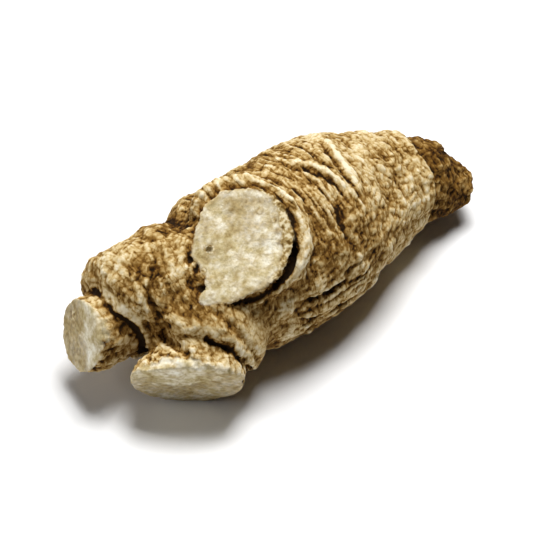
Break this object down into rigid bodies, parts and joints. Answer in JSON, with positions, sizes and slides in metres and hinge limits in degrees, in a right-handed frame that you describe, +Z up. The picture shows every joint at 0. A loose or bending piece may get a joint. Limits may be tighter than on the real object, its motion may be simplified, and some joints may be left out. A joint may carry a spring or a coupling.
{
  "type": "ginseng root",
  "caption": "Short thick dried ginseng root with cut tail and branches, a ringed wrinkled skin and a stub of stem neck, lying on its side.",
  "frame": {"origin": "on the resting plane, under the middle of the root's box", "axes": "+X along the root from the cut tail to the stem neck, +Z up from the resting plane"},
  "size_m": [0.05, 0.0198, 0.0207],
  "materials": {
    "root_skin": "matte"
  },
  "bodies": {
    "root": {"ginseng_root": "root_skin"}
  },
  "joints": []
}
